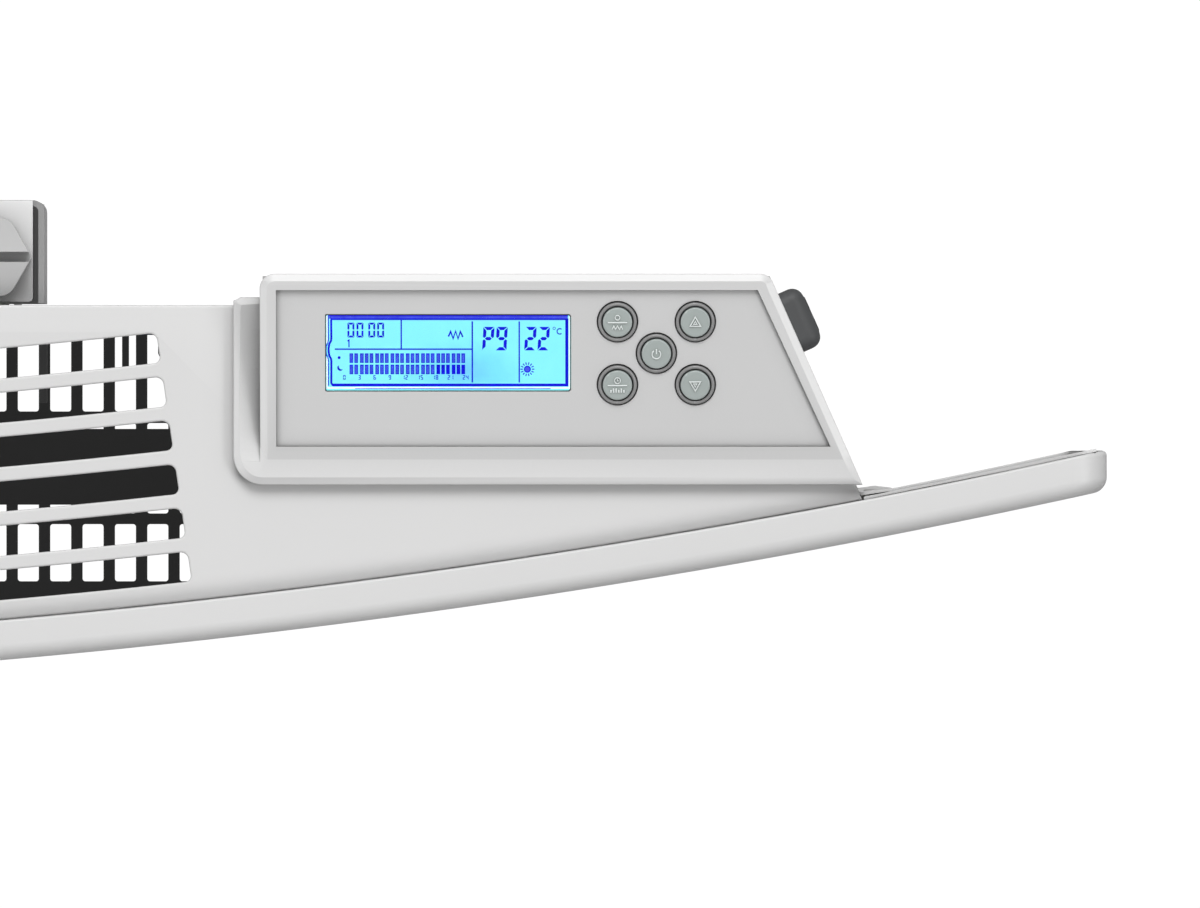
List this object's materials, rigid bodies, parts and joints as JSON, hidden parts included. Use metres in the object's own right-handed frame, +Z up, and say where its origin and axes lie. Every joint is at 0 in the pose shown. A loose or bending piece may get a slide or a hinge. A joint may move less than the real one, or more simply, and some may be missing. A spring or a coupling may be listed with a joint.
{
  "type": "wall panel convector heater",
  "caption": "Wall panel convector heater with a curved front panel, louvred top, top-right control unit with display, buttons and side switch, and a wall bracket with turn locks.",
  "frame": {"origin": "on the wall plane at the back face of the bracket's middle bar, midway along the heater and at half the front panel's height", "axes": "+X along the heater to the right seen from the front, +Y towards the wall, +Z up"},
  "size_m": [0.74, 0.0989, 0.4558],
  "materials": {
    "white_steel": "satin powder coat, white",
    "black_steel": "matt black paint",
    "black_aluminium": "matt black anodised",
    "housing_plastic": "fine satin, white",
    "fascia_plastic": "fine texture, light grey",
    "window_plastic": "clear, backlit blue",
    "display_blue": "backlit display",
    "board_green": "solder mask",
    "button_cap": "satin, greenish grey",
    "button_ring": "satin, mid grey",
    "dark_plastic": "satin, near black",
    "boot_rubber": "matt, dark grey",
    "ceramic": "unglazed",
    "zinc_steel": "zinc plated",
    "bracket_steel": "satin grey",
    "lock_plastic": "fine satin, grey",
    "lead_red": "silicone sleeve",
    "lead_blue": "silicone sleeve"
  },
  "bodies": {
    "heater": {"front_panel": "white_steel", "panel_backing_sheet": "white_steel", "rear_casing": "white_steel", "top_plate": "white_steel", "bottom_grille": "black_steel", "heating_element": "black_aluminium", "control_housing": "housing_plastic", "control_fascia": "fascia_plastic", "display_window": "window_plastic", "display_module": "display_blue", "control_board": "board_green", "power_board": "board_green", "button_ring_mode": "button_ring", "button_ring_up": "button_ring", "button_ring_power": "button_ring", "button_ring_program": "button_ring", "button_ring_down": "button_ring", "electronics_tray": "dark_plastic", "power_relay": "dark_plastic", "main_switch_body": "dark_plastic", "thermal_cutout": "dark_plastic", "cable_gland": "dark_plastic", "room_sensor_clip": "dark_plastic", "element_bush_left": "ceramic", "element_bush_right": "ceramic", "terminal_block": "ceramic", "element_bracket_left": "zinc_steel", "element_bracket_right": "zinc_steel", "room_sensor": "zinc_steel", "casing_screw_1": "zinc_steel", "casing_screw_2": "zinc_steel", "casing_screw_3": "zinc_steel", "casing_screw_4": "zinc_steel", "wall_bracket": "bracket_steel", "lock_housing_left": "lock_plastic", "lock_housing_right": "lock_plastic", "element_lead_live": "lead_red", "element_lead_neutral": "lead_blue"},
    "button_mode_cap": {"button_mode": "button_cap"},
    "button_up_cap": {"button_up": "button_cap"},
    "button_power_cap": {"button_power": "button_cap"},
    "button_program_cap": {"button_program": "button_cap"},
    "button_down_cap": {"button_down": "button_cap"},
    "main_switch": {"main_switch_rocker": "dark_plastic", "switch_boot": "boot_rubber"},
    "lock_left": {"lock_knob_left": "lock_plastic", "lock_cam_left": "zinc_steel"},
    "lock_right": {"lock_knob_right": "lock_plastic", "lock_cam_right": "zinc_steel"}
  },
  "joints": [
    {"name": "press_mode", "type": "slide", "parent": "heater", "child": "button_mode_cap", "axis": [0, 0.2419, -0.9703], "range_m": [0, 0.0008], "stiffness_N_per_m": 1500, "springref_m": -0.0005},
    {"name": "press_up", "type": "slide", "parent": "heater", "child": "button_up_cap", "axis": [0, 0.2419, -0.9703], "range_m": [0, 0.0008], "stiffness_N_per_m": 1500, "springref_m": -0.0005},
    {"name": "press_power", "type": "slide", "parent": "heater", "child": "button_power_cap", "axis": [0, 0.2419, -0.9703], "range_m": [0, 0.0008], "stiffness_N_per_m": 1500, "springref_m": -0.0005},
    {"name": "press_program", "type": "slide", "parent": "heater", "child": "button_program_cap", "axis": [0, 0.2419, -0.9703], "range_m": [0, 0.0008], "stiffness_N_per_m": 1500, "springref_m": -0.0005},
    {"name": "press_down", "type": "slide", "parent": "heater", "child": "button_down_cap", "axis": [0, 0.2419, -0.9703], "range_m": [0, 0.0008], "stiffness_N_per_m": 1500, "springref_m": -0.0005},
    {"name": "switch_rock", "type": "hinge", "parent": "heater", "child": "main_switch", "pos_m": [0.30614, -0.025, 0.2095], "axis": [-0.4073, 0.9133, 0], "range_deg": [-5, 5]},
    {"name": "lock_left_turn", "type": "hinge", "parent": "heater", "child": "lock_left", "pos_m": [-0.145, -0.0115, 0.19], "axis": [0, 0, 1], "range_deg": [0, 90]},
    {"name": "lock_right_turn", "type": "hinge", "parent": "heater", "child": "lock_right", "pos_m": [0.145, -0.0115, 0.19], "axis": [0, 0, -1], "range_deg": [0, 90]}
  ]
}
